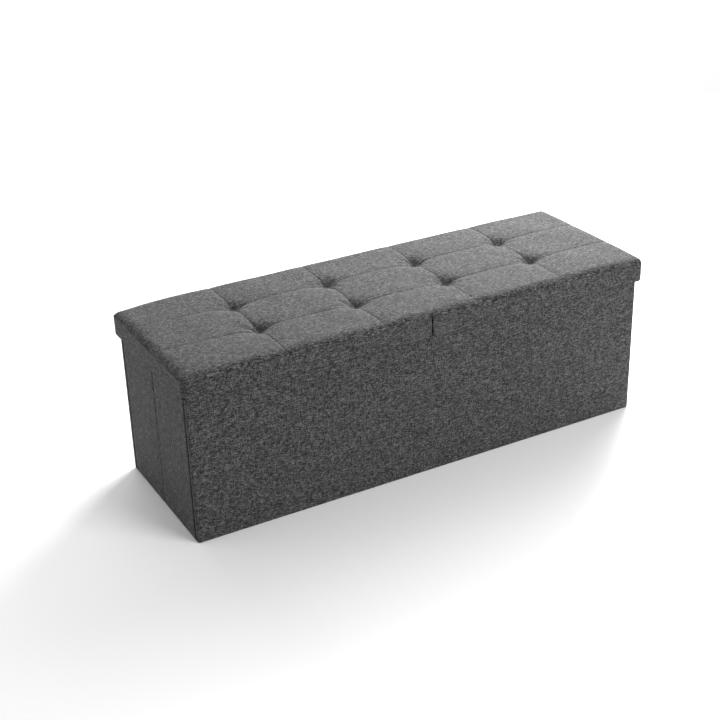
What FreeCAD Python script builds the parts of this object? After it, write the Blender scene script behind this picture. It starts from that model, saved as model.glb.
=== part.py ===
import FreeCAD, Part
import math
import os

# Storage bench: a box of cloth-covered boards that folds flat, under a padded lid in two halves.
# Millimetres. +X runs along the bench, +Y to its rear, +Z up. The origin is on the floor,
# under the middle of the bench. Every board sits in a sewn cloth cover, and the sewn seams
# between the covers are the hinges.

V = FreeCAD.Vector

# ---- overall size, over the closed lid ----
bench_length = 1100.0
bench_depth = 380.0
bench_height = 380.0

# ---- sheet and cloth thicknesses ----
cover_cloth = 1.2       # woven upholstery cloth
lining_cloth = 0.8      # felted lining cloth
wall_board = 9.0        # fibreboard in the walls and the brace
base_board = 4.0        # hardboard in the two floor flaps
lid_board = 9.0         # particle board under the seat
skirt_board = 4.0       # hardboard strips round the lid
skirt_board_gap = 0.5   # between the strips at a corner
foam = 22.0             # seat foam

# ---- lid ----
skirt_height = 57.0     # from the seat's top to the skirt's lower edge
lid_corner_radius = 16.0
seat_edge_radius = 11.0
fold_gap = 2.4          # between the two halves of the lid
fold_axis_rise = 0.3    # the fold line stands this far over the seat
fold_bead_radius = 0.8
tuft_columns = 2        # on each half
tuft_rows = 2
tuft_radius = 24.0      # of a tuft's pit at the seat's surface
tuft_depth = 17.0
tuft_floor_radius = 3.0
tuft_cord_radius = 1.1
tuft_washer_radius = 9.0
tuft_washer = 1.4
cord_hole_clearance = 0.4
washer_clearance = 0.2

# ---- staples under the lid ----
staple_width = 10.0
staple_wire = 0.5
staple_leg = 6.0
staple_spacing = 60.0
staple_inset = 3.0      # from the skirt's inner face

# ---- box ----
seat_gap = 1.0          # between the walls' tops and the lid's lining
skirt_gap_ends = 2.6    # between the skirt and the box's ends
skirt_gap_sides = 7.6   # between the skirt and the box's long sides
wall_edge_radius = 4.0  # round the outer edges of a covered wall
corner_gap = 0.8        # between an end panel and a long wall
crease_gap = 2.0        # between the two halves of an end panel, and of the brace
floor_sheet_rise = 0.4  # the floor cloth hangs just clear of the floor

# ---- floor flaps ----
flap_gap = 0.8          # round a flap's hinge, between it and its wall
flap_over_cloth = 0.4   # from the floor cloth up to a flap
flap_middle_gap = 2.0   # between the two flaps
flap_hinge_offset = 1.0 # from the hinge line to the flap's edge
flap_end_clearance = 2.5
fold_clearance = 0.6    # between folded layers

# ---- brace across the middle, under the lid's fold ----
brace_clearance_below = 8.0  # over the raised flaps
brace_end_offset = 1.2       # from the hinge line to the brace's edge

# ---- sewn hinge seams and pull tabs ----
seam_bead_radius = 0.8
seam_clearance = 0.2    # between a corner tape's bead and the panel it turns
flap_bead_radius = 0.6
crease_bead_radius = 0.8
lining_gap = 0.4        # round the lid's lining
seam_allowance = 3.0    # of a crease seam, sewn to the edge of the half panel
tape_cloth = 0.8
tape_end_inset = 2.0
tab_width = 26.0
tab_length = 46.0
tab_cloth = 1.2
tab_edge_inset = 6.0
tab_place = 250.0       # from the middle of the bench

# ---- sizes that follow ----
half_length = bench_length / 2
half_depth = bench_depth / 2
skirt = cover_cloth + skirt_board + cover_cloth
skirt_bottom = bench_height - skirt_height
lid_board_top = bench_height - cover_cloth - foam
lid_board_bottom = lid_board_top - lid_board
lid_lining_bottom = lid_board_bottom - lining_cloth
wall_top = lid_lining_bottom - seat_gap
box_x = half_length - skirt - skirt_gap_ends     # outer face of an end panel
box_y = half_depth - skirt - skirt_gap_sides     # outer face of a long wall
wall = cover_cloth + wall_board + lining_cloth
inner_x = box_x - wall
inner_y = box_y - wall
base = lining_cloth + base_board + lining_cloth
flap_bottom = floor_sheet_rise + lining_cloth + flap_over_cloth
flap_top = flap_bottom + base
hinge_stand = seam_bead_radius + seam_clearance  # hinge line to a panel's inner face
corner_axis_x = inner_x - hinge_stand
flap_axis_y = inner_y - flap_gap
corner_axis_y = flap_axis_y - base - fold_clearance
flap_reach = flap_axis_y - flap_middle_gap / 2   # hinge line to free edge
brace = lining_cloth + wall_board + lining_cloth + (cover_cloth - lining_cloth)
brace_axis_x = brace / 2 + hinge_stand
brace_bottom = flap_top + flap_reach + brace_clearance_below
brace_top = wall_top - seat_gap / 2


def box(x, y, z):
    """A box from three (low, high) pairs, given in any order."""
    x, y, z = sorted(x), sorted(y), sorted(z)
    return Part.makeBox(x[1] - x[0], y[1] - y[0], z[1] - z[0], V(x[0], y[0], z[0]))


def post(radius, x, y, z):
    """A round post along Z over the pair z."""
    return Part.makeCylinder(radius, z[1] - z[0], V(x, y, z[0]), V(0, 0, 1))


def one(shapes):
    """Several solids fused into one."""
    return shapes[0].multiFuse(shapes[1:]).removeSplitter()


def group(shapes):
    """Separate solids kept together in one node."""
    return Part.makeCompound(shapes)


def mirror_x(shape):
    return shape.mirror(V(0, 0, 0), V(1, 0, 0))


def mirror_y(shape):
    return shape.mirror(V(0, 0, 0), V(0, 1, 0))


def turned_half(shape):
    """The same shape on the diagonally opposite side of the bench."""
    return mirror_x(mirror_y(shape))


def on_plane(edge, axis, value):
    """True if the whole edge lies in the plane where that coordinate is value."""
    return all(abs(getattr(v.Point, axis) - value) < 1e-6 for v in edge.Vertexes)


def rounded_face(shape, axis, value, radius):
    """Rounds all the edges of the face where that coordinate is value."""
    edges = [e for e in shape.Edges if on_plane(e, axis, value)]
    return shape.makeFillet(radius, edges)


def covered_wall(x, y, z, axis, outside):
    """Board, cover and lining of one wall.

    axis is the coordinate across the wall, and outside that coordinate of its outer face.
    The cover wraps the outer face and all four edges, and the lining closes the inner face.
    """
    spans = {"x": sorted(x), "y": sorted(y), "z": sorted(z)}
    low, high = spans[axis]
    inward = 1 if outside == low else -1
    inside = high if outside == low else low
    lining_face = inside - inward * lining_cloth
    lining_spans = dict(spans)
    lining_spans[axis] = (lining_face, inside)
    lining = box(lining_spans["x"], lining_spans["y"], lining_spans["z"])
    outer_spans = dict(spans)
    outer_spans[axis] = (outside, lining_face)
    outer = box(outer_spans["x"], outer_spans["y"], outer_spans["z"])
    outer = rounded_face(outer, axis, outside, wall_edge_radius)
    board_spans = {k: (v[0] + cover_cloth, v[1] - cover_cloth) for k, v in spans.items()}
    board_outside = outside + inward * cover_cloth
    board_spans[axis] = (board_outside, lining_face)
    board = box(board_spans["x"], board_spans["y"], board_spans["z"])
    board = rounded_face(board, axis, board_outside, wall_edge_radius - cover_cloth)
    return board, outer.cut(board), lining


def rear_wall():
    """The rear wall, over the bench's whole length. The front wall is its mirror."""
    return covered_wall((-box_x, box_x), (inner_y, box_y), (0, wall_top), "y", box_y)


def left_rear_end():
    """The rear half of the left end panel, from its middle crease to the rear wall."""
    y = (crease_gap / 2, inner_y - corner_gap)
    return covered_wall((-box_x, -inner_x), y, (0, wall_top), "x", -box_x)


def crease_seam(face_x, inward, z):
    """A crease's sewn line at the outer face, with its allowance turned in along the rear half."""
    z = (z[0] + tape_end_inset, z[1] - tape_end_inset)
    reach = wall_edge_radius + seam_allowance
    allowance = box((face_x, face_x + inward * reach), (crease_gap / 2 - tape_cloth, crease_gap / 2), z)
    return one([post(crease_bead_radius, face_x, 0, z), allowance])


def rear_tape(x, z):
    """A hinge tape on the rear wall: a flat strip with a bead on its hinge line."""
    z = (z[0] + tape_end_inset, z[1] - tape_end_inset)
    flat = box((x - tape_cloth / 2, x + tape_cloth / 2), (corner_axis_y, inner_y), z)
    return one([flat, post(seam_bead_radius, x, corner_axis_y, z)])


def flap_outline(inset):
    """A floor flap's plan, in from its cloth by inset: a long trapezium with 45 degree ends.

    Each end follows the line that the end panel's crease sweeps as the box folds.
    """
    near = flap_hinge_offset + inset
    far = flap_reach - inset
    slant = inset * math.sqrt(2)
    points = []
    for reach, side in ((near, -1), (near, 1), (far, 1), (far, -1)):
        x = inner_x - reach - flap_end_clearance - slant
        points.append(V(side * x, flap_axis_y - reach, 0))
    return points


def flap_slab(inset, low, high):
    points = flap_outline(inset)
    wire = Part.makePolygon(points + points[:1])
    face = Part.Face(wire)
    face.translate(V(0, 0, low))
    return face.extrude(V(0, 0, high - low))


def rear_flap():
    """Board and cloth of the floor flap that hinges on the rear wall."""
    board = flap_slab(lining_cloth, flap_bottom + lining_cloth, flap_top - lining_cloth)
    return board, flap_slab(0, flap_bottom, flap_top).cut(board)


def flap_hinge():
    """The sewn bead along the foot of the rear wall that the rear flap turns on."""
    reach = inner_x - flap_end_clearance - flap_hinge_offset
    bead = Part.makeCylinder(flap_bead_radius, 2 * reach, V(-reach, flap_axis_y, flap_top), V(1, 0, 0))
    strip = box((-reach, reach), (flap_axis_y, inner_y), (flap_top, flap_top + flap_bead_radius))
    return one([bead, strip])


def pull_tab():
    """A loop of webbing near the rear flap's free edge."""
    y = flap_axis_y - flap_reach + tab_edge_inset
    return box((-tab_place - tab_width / 2, -tab_place + tab_width / 2), (y, y + tab_length),
               (flap_top, flap_top + tab_cloth))


def brace_rear_half():
    """Board and cloth of the rear half of the brace, which folds towards +X."""
    y = (crease_gap / 2, corner_axis_y - brace_end_offset)
    cloth = (brace - wall_board) / 2
    outer = box((-brace / 2, brace / 2), y, (brace_bottom, brace_top))
    outer = rounded_face(outer, "x", -brace / 2, wall_edge_radius)
    board = box((-brace / 2 + cloth, brace / 2 - cloth), (y[0] + cloth, y[1] - cloth),
                (brace_bottom + cloth, brace_top - cloth))
    board = rounded_face(board, "x", -brace / 2 + cloth, wall_edge_radius - cloth)
    return board, outer.cut(board)


def floor_cloth():
    x = inner_x - corner_gap
    y = inner_y - corner_gap
    return box((-x, x), (-y, y), (floor_sheet_rise, floor_sheet_rise + lining_cloth))


# ---- the right half of the lid; the left half is its mirror ----

def tuft_centres():
    """The tufts stand on the seams that part the seat into equal panels."""
    panel_x = bench_length / (2 * tuft_columns + 1)
    panel_y = bench_depth / (tuft_rows + 1)
    return [(panel_x * (i + 0.5), panel_y * (j - (tuft_rows - 1) / 2))
            for i in range(tuft_columns) for j in range(tuft_rows)]


def lid_block(inset, low, high, edge_radius=0.0):
    """The half lid's outline, in from the outside by inset, between two heights."""
    x0 = fold_gap / 2 + inset
    x1 = half_length - inset
    y1 = half_depth - inset
    block = box((x0, x1), (-y1, y1), (low, high))
    corners = [e for e in block.Edges
               if on_plane(e, "x", x1) and abs(e.Vertexes[0].Z - e.Vertexes[1].Z) > 1e-6]
    block = block.makeFillet(lid_corner_radius - inset, corners)
    if edge_radius:
        rim = [e for e in block.Edges if on_plane(e, "z", high) and not on_plane(e, "x", x0)]
        block = block.makeFillet(edge_radius, rim)
    return block


def skirt_hollow(inset, low, high):
    """The space inside the skirt, made larger by inset all round and open at the fold."""
    x = half_length - skirt + inset
    y = half_depth - skirt + inset
    return box((0, x), (-y, y), (low, high))


def tuft_pits(grow):
    """The tufts' pits, made larger by grow all round."""
    return [Part.makeCone(tuft_floor_radius + grow, tuft_radius + grow, tuft_depth,
                          V(x, y, bench_height - tuft_depth - grow), V(0, 0, 1))
            for x, y in tuft_centres()]


def cord_holes(low, high):
    radius = tuft_cord_radius + cord_hole_clearance
    return [post(radius, x, y, (low, high)) for x, y in tuft_centres()]


def seat_foam():
    top = bench_height - cover_cloth
    block = lid_block(cover_cloth, lid_board_top, top, seat_edge_radius - cover_cloth)
    return block.cut(group(tuft_pits(cover_cloth))).cut(group(cord_holes(lid_board_top, top)))


def seat_board():
    block = lid_block(cover_cloth, lid_board_bottom, lid_board_top)
    sinks = [post(tuft_washer_radius + washer_clearance, x, y,
                  (lid_board_bottom, lid_board_bottom + tuft_washer)) for x, y in tuft_centres()]
    return block.cut(group(sinks)).cut(group(cord_holes(lid_board_bottom, lid_board_top)))


def skirt_ring():
    """The room for the skirt's boards, inside its cloth."""
    z = (skirt_bottom + cover_cloth, lid_board_bottom)
    return lid_block(cover_cloth, z[0], z[1]).cut(skirt_hollow(cover_cloth, z[0], z[1]))


def skirt_boards():
    """Three strips under the seat board: front, rear and end."""
    ring = skirt_ring()
    z = (skirt_bottom, lid_board_bottom)
    end_face = half_length - cover_cloth
    y = half_depth
    end_strip = ring.common(box((end_face - skirt_board, end_face), (-y, y), z))
    side_strips = ring.common(box((0, end_face - skirt_board - skirt_board_gap), (-y, y), z))
    return group([end_strip] + side_strips.Solids)


def skirt_cover():
    """The skirt's cloth, wrapped round the outer face, lower edge, inner face and fold ends."""
    shell = lid_block(0, skirt_bottom, lid_board_bottom)
    shell = shell.cut(skirt_hollow(0, skirt_bottom, lid_board_bottom))
    return shell.cut(skirt_ring())


def seat_cover():
    """The cloth over the foam, down the seat board's edges and over the fold's face."""
    top = bench_height - cover_cloth
    outer = lid_block(0, lid_board_bottom, bench_height, seat_edge_radius)
    outer = outer.cut(group(tuft_pits(0)))
    filling = lid_block(cover_cloth, lid_board_bottom, top, seat_edge_radius - cover_cloth)
    filling = filling.cut(group(tuft_pits(cover_cloth)))
    return outer.cut(filling).cut(group(cord_holes(lid_board_bottom, bench_height)))


def lid_fold_seam():
    """The sewn line across the seat's top that the left half turns on, joined to the right half."""
    y = half_depth - lid_corner_radius
    z = bench_height + fold_axis_rise
    bead = Part.makeCylinder(fold_bead_radius, 2 * y, V(0, -y, z), V(0, 1, 0))
    allowance = box((0, fold_gap / 2), (-y, y), (bench_height - tape_cloth, bench_height))
    return one([bead, allowance])


def seat_lining():
    x1 = half_length - skirt
    y1 = half_depth - skirt
    return box((fold_gap / 2, x1 - lining_gap), (-y1 + lining_gap, y1 - lining_gap),
               (lid_lining_bottom, lid_board_bottom))


def tuft_cords():
    low = lid_board_bottom
    high = bench_height - tuft_depth + tuft_cord_radius
    return group([post(tuft_cord_radius, x, y, (low, high)) for x, y in tuft_centres()])


def tuft_washers():
    """Plastic discs let into the board's underside, which the tuft cords pull against."""
    z = (lid_board_bottom, lid_board_bottom + tuft_washer)
    return group([post(tuft_washer_radius, x, y, z).cut(post(tuft_cord_radius, x, y, z))
                  for x, y in tuft_centres()])


def staple(x, y, along_x):
    """One staple driven up through the lining into the board."""
    w = staple_width / 2
    d = staple_wire / 2
    crown = (lid_lining_bottom - staple_wire, lid_lining_bottom)
    leg = (lid_lining_bottom - staple_wire, lid_lining_bottom + staple_leg)
    if along_x:
        return one([box((x - w, x + w), (y - d, y + d), crown),
                    box((x - w, x - w + staple_wire), (y - d, y + d), leg),
                    box((x + w - staple_wire, x + w), (y - d, y + d), leg)])
    return one([box((x - d, x + d), (y - w, y + w), crown),
                box((x - d, x + d), (y - w, y - w + staple_wire), leg),
                box((x - d, x + d), (y + w - staple_wire, y + w), leg)])


def staple_row(length):
    """Even places along a side, no closer than a staple's width to its ends."""
    count = max(2, int(length // staple_spacing))
    step = (length - 2 * staple_width) / (count - 1)
    return [staple_width + step * i for i in range(count)]


def staples():
    x1 = half_length - skirt - staple_inset
    y1 = half_depth - skirt - staple_inset
    along = [staple(x, side * y1, True) for x in staple_row(x1) for side in (-1, 1)]
    across = [staple(x1, y - y1, False) for y in staple_row(2 * y1)[1:-1]]
    return group(along + across)


def build():
    nodes = {}
    rear = rear_wall()
    left_rear = left_rear_end()
    flap = rear_flap()
    brace_half = brace_rear_half()
    for piece, shape in zip(("board", "cover", "lining"), rear):
        nodes["rear_wall_" + piece] = shape
        nodes["front_wall_" + piece] = mirror_y(shape)
    for piece, shape in zip(("board", "cover", "lining"), left_rear):
        nodes["left_end_rear_" + piece] = shape
        nodes["left_end_front_" + piece] = mirror_y(shape)
        nodes["right_end_rear_" + piece] = mirror_x(shape)
        nodes["right_end_front_" + piece] = turned_half(shape)
    nodes["left_crease_seam"] = crease_seam(-box_x, 1, (0, wall_top))
    nodes["right_crease_seam"] = crease_seam(box_x, -1, (0, wall_top))
    corner_tape = rear_tape(-corner_axis_x, (0, wall_top))
    brace_tape = rear_tape(brace_axis_x, (brace_bottom, brace_top))
    nodes["rear_corner_tapes"] = group([corner_tape, mirror_x(corner_tape)])
    nodes["front_corner_tapes"] = group([mirror_y(corner_tape), turned_half(corner_tape)])
    for piece, shape in zip(("board", "cloth"), flap):
        nodes["rear_flap_" + piece] = shape
        nodes["front_flap_" + piece] = mirror_y(shape)
    nodes["rear_flap_hinge"] = flap_hinge()
    nodes["front_flap_hinge"] = mirror_y(flap_hinge())
    nodes["rear_flap_pull_tab"] = pull_tab()
    nodes["front_flap_pull_tab"] = turned_half(pull_tab())
    for piece, shape in zip(("board", "cloth"), brace_half):
        nodes["brace_rear_" + piece] = shape
        nodes["brace_front_" + piece] = mirror_y(shape)
    nodes["brace_rear_tape"] = brace_tape
    nodes["brace_front_tape"] = mirror_y(brace_tape)
    nodes["brace_crease_seam"] = crease_seam(-brace / 2, 1, (brace_bottom, brace_top))
    nodes["floor_cloth"] = floor_cloth()
    nodes["lid_fold_seam"] = lid_fold_seam()
    lid = {
        "seat_board": seat_board(), "foam": seat_foam(), "seat_cover": seat_cover(),
        "skirt_boards": skirt_boards(), "skirt_cover": skirt_cover(), "lining": seat_lining(),
        "tuft_cords": tuft_cords(), "tuft_washers": tuft_washers(), "staples": staples(),
    }
    for piece, shape in lid.items():
        nodes["lid_right_" + piece] = shape
        nodes["lid_left_" + piece] = mirror_x(shape)
    return nodes


os.makedirs("parts", exist_ok=True)
for name, shape in build().items():
    shape.exportStep(os.path.join("parts", name + ".step"))
print("hinge lines (mm): corner x", corner_axis_x, "y", corner_axis_y, "| crease x", box_x,
      "| flap y", flap_axis_y, "z", flap_top, "| brace x", brace_axis_x,
      "| lid z", bench_height + fold_axis_rise)
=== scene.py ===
import math

import bmesh
import bpy
import numpy as np
from mathutils import Matrix, Vector


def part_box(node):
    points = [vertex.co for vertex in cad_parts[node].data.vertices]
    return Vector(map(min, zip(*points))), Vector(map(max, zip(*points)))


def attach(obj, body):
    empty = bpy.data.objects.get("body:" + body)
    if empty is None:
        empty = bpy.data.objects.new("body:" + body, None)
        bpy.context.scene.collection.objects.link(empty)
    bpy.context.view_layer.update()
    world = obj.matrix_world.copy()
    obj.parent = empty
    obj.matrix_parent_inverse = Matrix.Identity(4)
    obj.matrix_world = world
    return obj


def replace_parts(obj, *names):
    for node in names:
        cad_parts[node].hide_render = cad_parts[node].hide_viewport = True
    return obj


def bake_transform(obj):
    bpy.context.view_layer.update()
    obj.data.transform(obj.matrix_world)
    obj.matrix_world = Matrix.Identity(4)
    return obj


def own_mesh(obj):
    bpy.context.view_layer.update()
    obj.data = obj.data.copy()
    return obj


# Storage bench: a fold-flat box of cloth-covered boards under a tufted, quilted lid in two halves.
# Everything is in metres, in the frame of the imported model: +X along the bench, +Y to the rear, +Z up.

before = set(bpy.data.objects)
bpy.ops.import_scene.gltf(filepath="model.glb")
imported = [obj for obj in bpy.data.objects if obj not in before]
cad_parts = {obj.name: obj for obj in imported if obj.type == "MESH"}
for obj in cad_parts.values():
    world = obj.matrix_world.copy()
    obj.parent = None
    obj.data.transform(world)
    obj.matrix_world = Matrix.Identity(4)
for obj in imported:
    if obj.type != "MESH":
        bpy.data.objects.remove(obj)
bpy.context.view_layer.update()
mm = 0.001


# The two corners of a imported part's box, as arrays.
def boxOf(node):
    low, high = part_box(node)
    return np.array(low), np.array(high)


# Places that several pieces share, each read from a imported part.
lidLow, lidHigh = boxOf("lid_right_seat_cover")
liningHigh = boxOf("lid_right_lining")[1]
seatHalfLength = lidHigh[0]
seatHalfDepth = lidHigh[1]
seatTop = lidHigh[2]
foldHalfGap = lidLow[0]
skirtBottom = boxOf("lid_right_skirt_cover")[0][2]
skirtThickness = seatHalfLength - liningHigh[0] - 0.4 * mm
boardTop = boxOf("lid_right_seat_board")[1][2]
skirtTop = liningHigh[2]


# A grid of points (rows, columns, xyz) becomes quads between neighbours; a wrapped direction also
# joins its last line to its first. uv holds metres along the cloth at each corner, one more line
# than the points in a wrapped direction. Lines that fall together are welded shut.
def gridPiece(name, points, uv, wrapRows=False, wrapColumns=False, weld=True, caps=False):
    rows, columns = points.shape[:2]
    i, j = np.meshgrid(np.arange(rows if wrapRows else rows - 1),
                       np.arange(columns if wrapColumns else columns - 1), indexing="ij")
    i, j = i.ravel(), j.ravel()
    corner = lambda a, b: (a % rows) * columns + b % columns
    quads = np.stack([corner(i, j), corner(i, j + 1), corner(i + 1, j + 1), corner(i + 1, j)], 1)
    places = [uv[i, j], uv[i, j + 1], uv[i + 1, j + 1], uv[i + 1, j]]
    mesh = bpy.data.meshes.new(name)
    faces = quads.tolist()
    loopUv = np.stack(places, 1).reshape(-1, 2)
    if caps:
        ring = np.arange(columns)
        faces += [ring[::-1].tolist(), ((rows - 1) * columns + ring).tolist()]
        loopUv = np.concatenate([loopUv, uv[0, :columns][::-1], uv[-1, :columns]])
    mesh.from_pydata(points.reshape(-1, 3).tolist(), [], faces)
    layer = mesh.uv_layers.new(name="weave")
    layer.data.foreach_set("uv", loopUv.astype(np.float32).ravel())
    if weld:
        shell = bmesh.new()
        shell.from_mesh(mesh)
        bmesh.ops.remove_doubles(shell, verts=shell.verts, dist=2e-6)
        bmesh.ops.recalc_face_normals(shell, faces=shell.faces)
        shell.to_mesh(mesh)
        shell.free()
    mesh.polygons.foreach_set("use_smooth", np.ones(len(mesh.polygons), bool))
    mesh.update()
    piece = bpy.data.objects.new(name, mesh)
    bpy.context.collection.objects.link(piece)
    return piece


# Several pieces made one, kept as separate shells in one mesh.
def joined(name, parts):
    bpy.ops.object.select_all(action="DESELECT")
    for part in parts:
        part.select_set(True)
    bpy.context.view_layer.objects.active = parts[0]
    bpy.ops.object.join()
    parts[0].name = name
    parts[0].data.name = name
    return parts[0]


# Length along a line of points, starting at 0.
def arcLength(line):
    steps = np.linalg.norm(np.diff(line, axis=0), axis=1)
    return np.concatenate([[0], np.cumsum(steps)])


# Slow random waves over two coordinates in metres: a sum of sines with fixed random directions,
# each about `size` long, scaled to lie near -1 to 1.
def waves(a, b, size, seed, count=7):
    pick = np.random.default_rng(seed)
    total = np.zeros(np.broadcast(a, b).shape)
    for _ in range(count):
        turn = pick.uniform(0, 2 * math.pi)
        rate = 2 * math.pi / (size * pick.uniform(0.6, 1.6))
        total += np.sin(rate * (a * math.cos(turn) + b * math.sin(turn)) + pick.uniform(0, 6.28))
    return total / math.sqrt(count)


# Places along a span: close together near chosen points, and wide elsewhere.
def gradedLine(low, high, closeTo, close, wide, reach):
    line = [low]
    while line[-1] < high:
        near = min([abs(line[-1] - c) for c in closeTo] + [abs(line[-1] + close - c) for c in closeTo])
        share = min(1.0, max(0.0, near / reach - 0.5))
        line.append(line[-1] + close + (wide - close) * share)
    line = np.array(line)
    return low + (line - low) * (high - low) / (line[-1] - low)


# An empty material with one shader joined to its output.
def newMaterial(name):
    material = bpy.data.materials.new(name)
    material.use_nodes = True
    tree = material.node_tree
    tree.nodes.clear()
    output = tree.nodes.new("ShaderNodeOutputMaterial")
    shader = tree.nodes.new("ShaderNodeBsdfPrincipled")
    tree.links.new(shader.outputs[0], output.inputs[0])
    return material, tree, shader


# A shader node: each input is a link when it is another node's socket, and else a fixed value.
def node(tree, kind, inputs=(), **settings):
    made = tree.nodes.new(kind)
    for key, value in settings.items():
        setattr(made, key, value)
    for place, value in dict(inputs).items():
        socket = made.inputs[place]
        if isinstance(value, bpy.types.NodeSocket):
            tree.links.new(value, socket)
        else:
            socket.default_value = value
    return made


# One sum on two numbers or sockets.
def maths(tree, operation, a, b=0.0, clamp=False):
    return node(tree, "ShaderNodeMath", {0: a, 1: b}, operation=operation, use_clamp=clamp).outputs[0]


# First times second.
def times(tree, a, b):
    return maths(tree, "MULTIPLY", a, b)


# First plus second, held between 0 and 1 when clamp is on.
def plus(tree, a, b, clamp=False):
    return maths(tree, "ADD", a, b, clamp)


# Smooth noise at so many features a metre of the given place.
def noise(tree, place, scale, detail=2.0, **more):
    settings = {"Vector": place, "Scale": scale, "Detail": detail, **more}
    return node(tree, "ShaderNodeTexNoise", settings).outputs[0]


# The piece's own map in metres, whole and as its two directions.
def clothMap(tree):
    uv = node(tree, "ShaderNodeUVMap", uv_map="weave").outputs[0]
    apart = node(tree, "ShaderNodeSeparateXYZ", {0: uv})
    return uv, apart.outputs[0], apart.outputs[1]


# The size of a sine, a row of rounded ridges: one ridge for each pi of the turn.
def ridges(tree, turn):
    return maths(tree, "ABSOLUTE", maths(tree, "SINE", turn))


# Colour by a factor: each stop is a place from 0 to 1 and its colour.
def rampOf(tree, factor, stops):
    ramp = node(tree, "ShaderNodeValToRGB", {0: factor})
    band = ramp.color_ramp
    while len(band.elements) < len(stops):
        band.elements.new(0.5)
    for element, (place, colour) in zip(band.elements, stops):
        element.position = place
        element.color = (*colour, 1)
    return ramp.outputs[0]


# Relief on the shader: strength times the height, over a distance in metres.
def bump(tree, shader, height, strength, distance):
    made = node(tree, "ShaderNodeBump", {"Height": height, "Strength": strength, "Distance": distance})
    tree.links.new(made.outputs[0], shader.inputs["Normal"])


heather = {
    "yarn": 0.95 * mm,        # width of one yarn
    "slubLength": 7 * mm,     # how far a yarn keeps its shade
    "weftLean": 0.28,         # above 0, the yarns along the map's first direction show more
    "dark": (0.004, 0.004, 0.0041),
    "mid": (0.019, 0.019, 0.0195),
    "light": (0.15, 0.15, 0.152),
    "sheen": 0.10,
    "roughness": 0.92,
    "relief": 0.2 * mm,
}


# Plain weave on the piece's own map in metres. Yarns run along both directions, each with its own slubs
# from noise drawn out along it; a product of two sines picks the yarn that lies on top.
# lift scales the mid and light tones; above 1 it paints light into the cloth's colour.
def wovenCloth(name, shades, lift=1.0):
    material, tree, shader = newMaterial(name)
    uv, u, v = clothMap(tree)
    across = 1 / shades["yarn"]
    along = 1 / shades["slubLength"]

    # noise at one rate along u and another along v, so that it is drawn out along the yarn
    def yarnShade(first, second, seed):
        inputs = {0: times(tree, u, first), 1: times(tree, v, second), 2: seed}
        place = node(tree, "ShaderNodeCombineXYZ", inputs)
        return noise(tree, place.outputs[0], 1.0, 1.0, Roughness=0.6)

    warp = yarnShade(across, along, 1.5)
    weft = yarnShade(along, across, 4.5)
    turnU = maths(tree, "SINE", times(tree, u, math.pi * across))
    turnV = maths(tree, "SINE", times(tree, v, math.pi * across))
    over = plus(tree, times(tree, times(tree, turnU, turnV), 2.0), 0.5 + shades["weftLean"], True)
    shade = node(tree, "ShaderNodeMix", {0: over, 2: warp, 3: weft}, data_type="FLOAT").outputs[0]
    patch = noise(tree, uv, 60.0, 3.0)
    shade = plus(tree, shade, times(tree, maths(tree, "SUBTRACT", patch, 0.5), 0.05))
    colour = rampOf(tree, shade, [
        (0.38, shades["dark"]), (0.49, tuple(c * lift for c in shades["mid"])),
        (0.66, tuple(c * lift for c in shades["light"]))])
    tree.links.new(colour, shader.inputs["Base Color"])
    ridge = node(tree, "ShaderNodeMix", {0: over, 2: maths(tree, "ABSOLUTE", turnV),
                                         3: maths(tree, "ABSOLUTE", turnU)}, data_type="FLOAT").outputs[0]
    height = plus(tree, times(tree, ridge, 0.6), shade)
    bump(tree, shader, height, 0.6, shades["relief"])
    rough = node(tree, "ShaderNodeMapRange", {0: shade, 1: 0.3, 2: 0.7, 3: shades["roughness"], 4: 0.8})
    tree.links.new(rough.outputs[0], shader.inputs["Roughness"])
    shader.inputs["Sheen Weight"].default_value = shades["sheen"]
    shader.inputs["Sheen Roughness"].default_value = 0.45
    shader.inputs["Specular IOR Level"].default_value = 0.22
    return material


# Needled felt: fine fibre noise with faint rows of bonding dots.
def feltCloth(name, colour, dots=4 * mm):
    material, tree, shader = newMaterial(name)
    uv, u, v = clothMap(tree)
    fibre = noise(tree, uv, 900.0, 4.0, Distortion=1.5)
    cloud = noise(tree, uv, 14.0, 3.0)
    rate = 2 * math.pi / dots
    dotU = maths(tree, "SINE", times(tree, u, rate))
    dotV = maths(tree, "SINE", times(tree, v, rate))
    dot = maths(tree, "GREATER_THAN", times(tree, dotU, dotV), 0.55)
    shade = plus(tree, times(tree, fibre, 0.7), times(tree, cloud, 0.4))
    shade = maths(tree, "SUBTRACT", shade, times(tree, dot, 0.12))
    paint = rampOf(tree, shade, [(0.2, tuple(c * 0.45 for c in colour)), (0.55, colour),
                                 (0.9, tuple(c * 2.2 for c in colour))])
    tree.links.new(paint, shader.inputs["Base Color"])
    bump(tree, shader, shade, 0.5, 0.25 * mm)
    shader.inputs["Roughness"].default_value = 0.95
    shader.inputs["Sheen Weight"].default_value = 0.25
    shader.inputs["Specular IOR Level"].default_value = 0.2
    return material


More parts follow.
